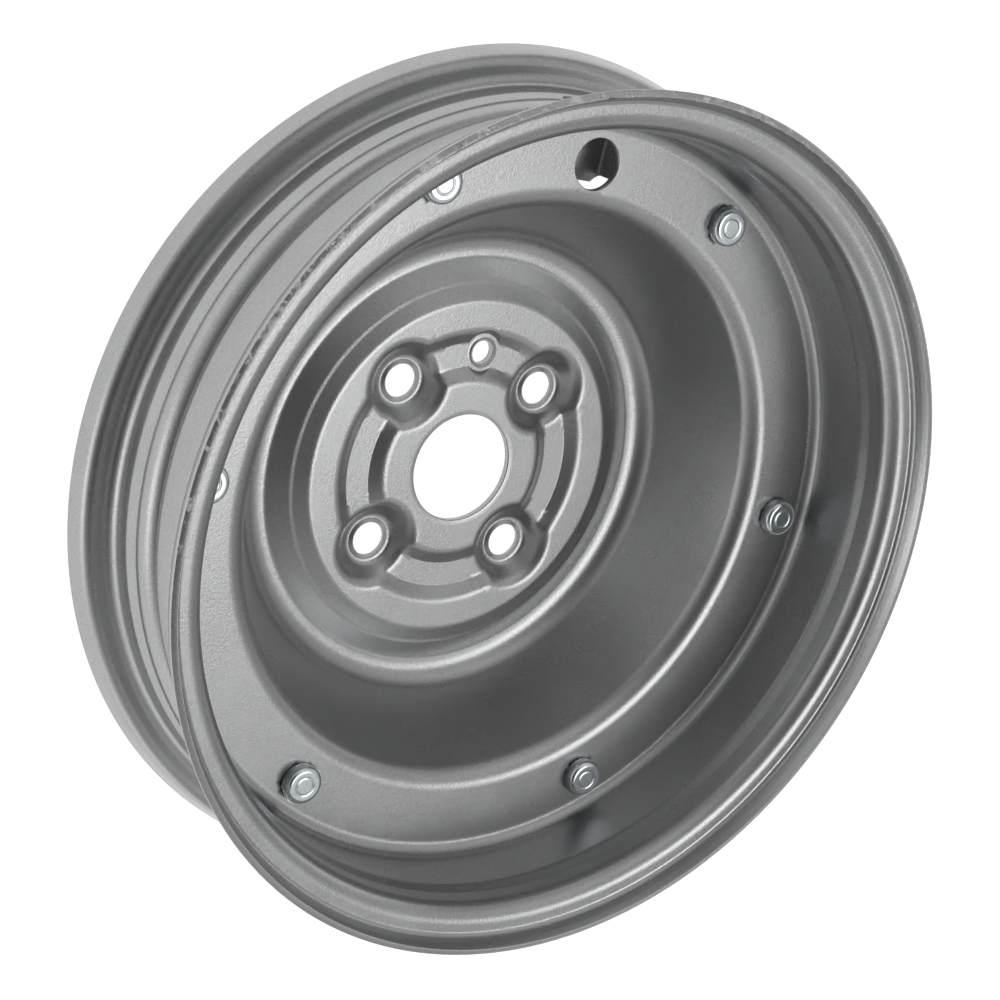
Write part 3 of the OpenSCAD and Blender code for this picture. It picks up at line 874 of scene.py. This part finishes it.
def nut_mesh(name, centre, shape, bolts):
    """A nut with a plain bore: its radius is the lesser of a hexagon's and of a cone's that turns its corners
    off at both faces."""
    columns = 144
    turn = TAU * np.arange(columns) / columns
    flats, height = bolts.nut_flats, bolts.nut_height
    hexagon = flats / np.cos((turn % (TAU / 6)) - TAU / 12)
    fine = np.linspace(0, 0.7 * MM, 9)
    up = np.concatenate([fine, [height / 2], height - fine[::-1]])
    z = up[:, None] + 0 * turn
    face_radius = flats - 0.25 * MM
    cone = face_radius + np.minimum(z, height - z) / math.tan(bolts.nut_corner)
    side = np.minimum(hexagon, cone)
    bore = bolts.shank + 0.1 * MM
    mouth = bore + 0.35 * MM
    wall = np.array([height - mouth + bore, mouth - bore])[:, None] + 0 * turn
    r = np.vstack([0 * turn + mouth, side, 0 * turn + mouth, 0 * wall + bore])
    z = np.vstack([0 * turn, z, 0 * turn + height, wall])
    base = shape.joint_height - shape.sheet - bolts.washer_thickness - height
    rings = np.stack([centre[0] + r * np.cos(turn), centre[1] + r * np.sin(turn), base + z], -1)
    skin = Skin()
    skin.lay(rings, closed=True)
    mesh = skin.mesh(name)
    mesh.set_sharp_from_angle(angle=math.radians(22))
    return mesh


def node_maker(tree):
    """Short call that adds a node, sets its values and its inputs, and links sockets given as inputs."""

    def make(kind, values=None, **inputs):
        node = tree.nodes.new(kind)
        for key, value in (values or {}).items():
            setattr(node, key, value)
        for key, value in inputs.items():
            socket = node.inputs[int(key[1:])] if key[0] == "i" and key[1:].isdigit() else node.inputs[key]
            if isinstance(value, bpy.types.NodeSocket):
                tree.links.new(value, socket)
            else:
                socket.default_value = value
        return node

    return make


def new_material(name):
    """An empty node material, its maker of nodes and its output."""
    material = bpy.data.materials.new(name)
    material.use_nodes = True
    material.node_tree.nodes.clear()
    make = node_maker(material.node_tree)
    return material, make, make("ShaderNodeOutputMaterial")


def ramp(make, value, *stops):
    """A colour ramp from [place, grey] stops."""
    node = make("ShaderNodeValToRGB", Fac=value)
    elements = node.color_ramp.elements
    while len(elements) < len(stops):
        elements.new(0.5)
    for element, (place, grey) in zip(elements, stops):
        element.position = place
        element.color = (grey, grey, grey, 1)
    return node.outputs["Color"]


def noise(make, place, scale, detail, roughness, **values):
    """A noise pattern's value."""
    node = make("ShaderNodeTexNoise", values, Vector=place, Scale=scale, Detail=detail, Roughness=roughness)
    return node.outputs["Fac"]


def calculated(make, operation, *values):
    """The result of a math node."""
    inputs = {"i%d" % i: value for i, value in enumerate(values)}
    return make("ShaderNodeMath", {"operation": operation}, **inputs).outputs[0]


def blended(make, mode, share, first, second):
    """The result of a colour mix; share, first and second are sockets or plain values."""
    values = {"data_type": "RGBA", "blend_type": mode}
    return make("ShaderNodeMix", values, i0=share, i6=first, i7=second).outputs[2]


def carried(make, value, low, high):
    """A value from 0 to 1 carried to a range."""
    return make("ShaderNodeMapRange", Value=value, **{"To Min": low, "To Max": high}).outputs[0]


def pressed(make, height, strength, distance, **below):
    """The surface's direction with a height pressed into it, over another direction if Normal is given."""
    return make("ShaderNodeBump", Height=height, Strength=strength, Distance=distance, **below).outputs[0]


def enamel_material(finish):
    """Grey enamel over pressed steel: orange peel, fine grain, drawing lines on the barrels, worn edges."""
    material, make, output = new_material("rim_enamel")
    links = material.node_tree.links
    place = make("ShaderNodeTexCoord").outputs["Object"]
    grain = noise(make, place, 1500.0, 2.0, 0.6)
    peel = noise(make, place, 450.0, 2.0, 0.5)
    patch = noise(make, place, 38.0, 4.0, 0.6)

    # Drawing lines run round the barrels: a pattern of radius and height alone
    axes = make("ShaderNodeSeparateXYZ", Vector=place).outputs
    flat = make("ShaderNodeCombineXYZ", X=axes["X"], Y=axes["Y"])
    radius = make("ShaderNodeVectorMath", {"operation": "LENGTH"}, i0=flat.outputs[0]).outputs["Value"]
    along_wall = make("ShaderNodeCombineXYZ", X=radius, Y=axes["Z"])
    drawn = noise(make, along_wall.outputs[0], 900.0, 4.0, 0.7, noise_dimensions="2D")
    on_barrel = ramp(make, radius, (0.118, 0.0), (0.122, 1.0))
    lines = calculated(make, "MULTIPLY", drawn, on_barrel)

    tone = ramp(make, patch, (0.3, 0.95), (0.7, 1.04))
    speckle = ramp(make, grain, (0.3, 0.9), (0.7, 1.08))
    mottle = blended(make, "MULTIPLY", 1.0, tone, speckle)
    paint = blended(make, "MULTIPLY", 1.0, (*finish.enamel, 1), mottle)

    # Chips lie where the edge's wear times a ragged noise passes a limit, and show clean or dirty steel
    worn = make("ShaderNodeAttribute", {"attribute_name": "wear"}).outputs["Fac"]
    fray = noise(make, place, 240.0, 6.0, 0.75)
    scuffed = ramp(make, calculated(make, "MULTIPLY", worn, fray), (0.46, 0.0), (0.52, 1.0))
    clean = ramp(make, noise(make, place, 75.0, 4.0, 0.7), (0.3, 0.0), (0.48, 1.0))
    steel = blended(make, "MIX", clean, (*finish.dark_steel, 1), (*finish.bare_steel, 1))

    shader = make("ShaderNodeBsdfPrincipled", Metallic=finish.enamel_metal)
    links.new(blended(make, "MIX", scuffed, paint, steel), shader.inputs["Base Color"])
    dull, sharp = finish.enamel_roughness + 0.05, finish.enamel_roughness - 0.03
    links.new(carried(make, patch, sharp, dull), shader.inputs["Roughness"])
    peeled = pressed(make, peel, 0.06, 0.0002)
    grained = pressed(make, grain, 0.4, 0.0001, Normal=peeled)
    lined = pressed(make, lines, 0.3, 0.0001, Normal=grained)
    links.new(pressed(make, scuffed, 0.4, 0.0002, Normal=lined), shader.inputs["Normal"])
    links.new(shader.outputs[0], output.inputs[0])
    return material


def zinc_material(finish):
    """Bright zinc plate: fine scratches, small stains and a cool tint."""
    material, make, output = new_material("bright_zinc")
    links = material.node_tree.links
    place = make("ShaderNodeTexCoord").outputs["Object"]
    stain = noise(make, place, 700.0, 4.0, 0.65)
    scratch = noise(make, place, 2600.0, 2.0, 0.5)
    shader = make("ShaderNodeBsdfPrincipled", Metallic=1.0)
    stained = ramp(make, stain, (0.3, 0.86), (0.7, 1.0))
    links.new(blended(make, "MULTIPLY", 1.0, (*finish.zinc, 1), stained), shader.inputs["Base Color"])
    dull, sharp = finish.zinc_roughness + 0.08, finish.zinc_roughness - 0.04
    links.new(carried(make, stain, sharp, dull), shader.inputs["Roughness"])
    links.new(pressed(make, scratch, 0.12, 0.00004), shader.inputs["Normal"])
    links.new(shader.outputs[0], output.inputs[0])
    return material


def floor_material(light):
    """A pale floor that shows white when seen or mirrored, and keeps the wheel's shadow."""
    material, make, output = new_material("studio_floor")
    links = material.node_tree.links
    ray = make("ShaderNodeLightPath").outputs
    seen = calculated(make, "MAXIMUM", ray["Is Camera Ray"], ray["Is Glossy Ray"])
    seen = calculated(make, "MAXIMUM", seen, ray["Is Transmission Ray"])
    shown = calculated(make, "MULTIPLY", seen, light.floor_glow)
    glow = make("ShaderNodeEmission", Color=(1, 1, 1, 1), Strength=shown)
    matt = make("ShaderNodeBsdfDiffuse", Color=(0.35, 0.35, 0.35, 1))
    both = make("ShaderNodeAddShader", i0=matt.outputs[0], i1=glow.outputs[0])
    links.new(both.outputs[0], output.inputs[0])
    return material


def studio_world(light):
    """Studio walls by direction: a panel's brightness falls with the cosine c of the angle from its middle as
    exp(focus * (c - 1))."""
    world = bpy.data.worlds.new("studio_walls")
    world.use_nodes = True
    tree = world.node_tree
    tree.nodes.clear()
    make = node_maker(tree)
    out = make("ShaderNodeOutputWorld")
    way = make("ShaderNodeTexCoord").outputs["Generated"]

    def panel(total, azimuth, elevation, brightness):
        a, e = math.radians(azimuth), math.radians(elevation)
        middle = (math.cos(a) * math.cos(e), math.sin(a) * math.cos(e), math.sin(e))
        c = make("ShaderNodeVectorMath", {"operation": "DOT_PRODUCT"}, i0=way, i1=middle).outputs["Value"]
        fall = calculated(make, "MULTIPLY_ADD", c, PANEL_FOCUS, -PANEL_FOCUS)
        return calculated(make, "MULTIPLY_ADD", calculated(make, "EXPONENT", fall), brightness, total)

    total = 0.0
    for azimuth, elevation, brightness in HIGH_PANELS:
        total = panel(total, azimuth, elevation, brightness * light.high)
    for azimuth, elevation, brightness in LOW_PANELS:
        total = panel(total, azimuth, elevation, brightness * light.low)
    background = make("ShaderNodeBackground", Color=(1, 1, 1, 1), Strength=total)
    tree.links.new(background.outputs[0], out.inputs[0])
    return world


class SPLITRIM_OT_disc_half(bpy.types.Operator):
    """Lays the disc half's enamelled pressing over its CAD node"""

    bl_idname = "splitrim.disc_half"
    bl_label = "Make disc half"

    def execute(self, context):
        scene = context.scene
        shape, stud, bolts = scene.rim_shape, scene.stud_shape, scene.fastener_shape
        mesh = disc_skin(shape, stud, bolts).mesh("disc_half_pressing")
        points = mesh_points(mesh)
        lip = shape.seat_radius + shape.flange_height
        front = CAD_BOX[1][2]
        outer_fade, inner_fade, bore_fade, seat_fade = 2.2 * MM, 2 * MM, 0.9 * MM, 0.5 * MM
        inner_edge = front - 0.6 * MM
        circles = [[0, 0, lip, front, outer_fade], [0, 0, lip - shape.sheet, inner_edge, inner_fade]]
        circles += [[0, 0, shape.bore, shape.hub_rise + shape.sheet, bore_fade]]
        circles += [[*place, stud.seat, shape.sheet, seat_fade] for place in stud_places(stud)]
        worn = edge_closeness(points, circles) * toward(points, WORN_SIDE, 0.35)
        write_attribute(mesh, "wear", worn)
        add_piece(mesh, enamel_material(scene.rim_finish), "rim", "disc_half")
        return {"FINISHED"}


class SPLITRIM_OT_ring_half(bpy.types.Operator):
    """Lays the ring half's enamelled pressing, with its valve trough, over its CAD node"""

    bl_idname = "splitrim.ring_half"
    bl_label = "Make ring half"

    def execute(self, context):
        scene = context.scene
        shape = scene.rim_shape
        mesh = ring_with_trough(ring_skin(shape, scene.fastener_shape), shape)
        points = mesh_points(mesh)
        lip = shape.seat_radius + shape.flange_height
        fade = 1.6 * MM
        circles = [[0, 0, lip, points[:, 2].min(), fade]]
        write_attribute(mesh, "wear", edge_closeness(points, circles))
        add_piece(mesh, bpy.data.materials["rim_enamel"], "rim", "ring_half")
        return {"FINISHED"}


class SPLITRIM_OT_fasteners(bpy.types.Operator):
    """Makes the six bolts, spring washers and nuts over their CAD nodes"""

    bl_idname = "splitrim.fasteners"
    bl_label = "Make fasteners"

    def execute(self, context):
        scene = context.scene
        shape, bolts = scene.rim_shape, scene.fastener_shape
        zinc = zinc_material(scene.rim_finish)
        for i, centre in enumerate(bolt_places(bolts), start=1):
            bolt = bolt_mesh("cap_bolt_%d" % i, centre, shape, bolts)
            add_piece(bolt, zinc, "fasteners", "bolt_%d" % i)
            washer = washer_mesh("split_washer_%d" % i, centre, shape, bolts)
            add_piece(washer, zinc, "fasteners", "spring_washer_%d" % i)
            nut = nut_mesh("hex_nut_%d" % i, centre, shape, bolts)
            add_piece(nut, zinc, "fasteners", "nut_%d" % i)
        return {"FINISHED"}


class SPLITRIM_OT_stage(bpy.types.Operator):
    """Sets the pale floor, the studio light and the camera"""

    bl_idname = "splitrim.stage"
    bl_label = "Set the stage"

    def execute(self, context):
        scene = context.scene
        light = scene.stage_light
        mesh = bpy.data.meshes.new("floor")
        corner = FLOOR_HALF_WIDTH * np.array([[-1, -1], [1, -1], [1, 1], [-1, 1]])
        below = CAD_BOX[0][2] - 0.2 * MM
        mesh.from_pydata(np.column_stack([corner, np.full(4, below)]), [], [[0, 1, 2, 3]])
        mesh.materials.append(floor_material(light))
        floor = bpy.data.objects.new("floor", mesh)
        scene.collection.objects.link(floor)

        lamp = bpy.data.lights.new("softbox", "SUN")
        lamp.angle = 2 * light.key_spread
        lamp.energy = math.pi * math.sin(light.key_spread) ** 2 * light.key
        softbox = bpy.data.objects.new("softbox", lamp)
        softbox.rotation_euler = (0.0, light.key_lean, light.key_turn)
        scene.collection.objects.link(softbox)
        scene.world = studio_world(light)
        scene.view_settings.view_transform = "Standard"

        camera = bpy.data.objects.new("camera", bpy.data.cameras.new("camera"))
        camera.data.sensor_width = CAMERA_SENSOR
        camera.data.lens = CAMERA_LENS
        camera.location = CAMERA_PLACE
        camera.rotation_euler = [math.radians(v) for v in CAMERA_TURNS]
        scene.collection.objects.link(camera)
        scene.camera = camera
        return {"FINISHED"}


class SPLITRIM_PT_panel(bpy.types.Panel):
    """Lists the steps and settings of the wheel"""

    bl_idname = "SPLITRIM_PT_panel"
    bl_label = "Split rim wheel"
    bl_space_type = "VIEW_3D"
    bl_region_type = "UI"
    bl_category = "Split Rim"

    def draw(self, context):
        layout = self.layout
        for operator in OPERATORS:
            layout.operator(operator.bl_idname)
        for name, group in GROUPS.items():
            box = layout.box()
            box.label(text=name.replace("_", " ").capitalize())
            for key in group.__annotations__:
                box.prop(getattr(context.scene, name), key)


GROUPS = {
    "rim_shape": RimShape,
    "stud_shape": StudShape,
    "fastener_shape": FastenerShape,
    "rim_finish": RimFinish,
    "stage_light": StageLight,
}
OPERATORS = (SPLITRIM_OT_disc_half, SPLITRIM_OT_ring_half, SPLITRIM_OT_fasteners, SPLITRIM_OT_stage)
CLASSES = (*GROUPS.values(), *OPERATORS, SPLITRIM_PT_panel)


def register():
    for cls in CLASSES:
        bpy.utils.register_class(cls)
    for name, group in GROUPS.items():
        setattr(bpy.types.Scene, name, bpy.props.PointerProperty(type=group))


def unregister():
    for name in GROUPS:
        delattr(bpy.types.Scene, name)
    for cls in reversed(CLASSES):
        bpy.utils.unregister_class(cls)


def main():
    register()
    bpy.ops.splitrim.disc_half()
    bpy.ops.splitrim.ring_half()
    bpy.ops.splitrim.fasteners()
    bpy.ops.splitrim.stage()


if __name__ == "__main__":
    main()
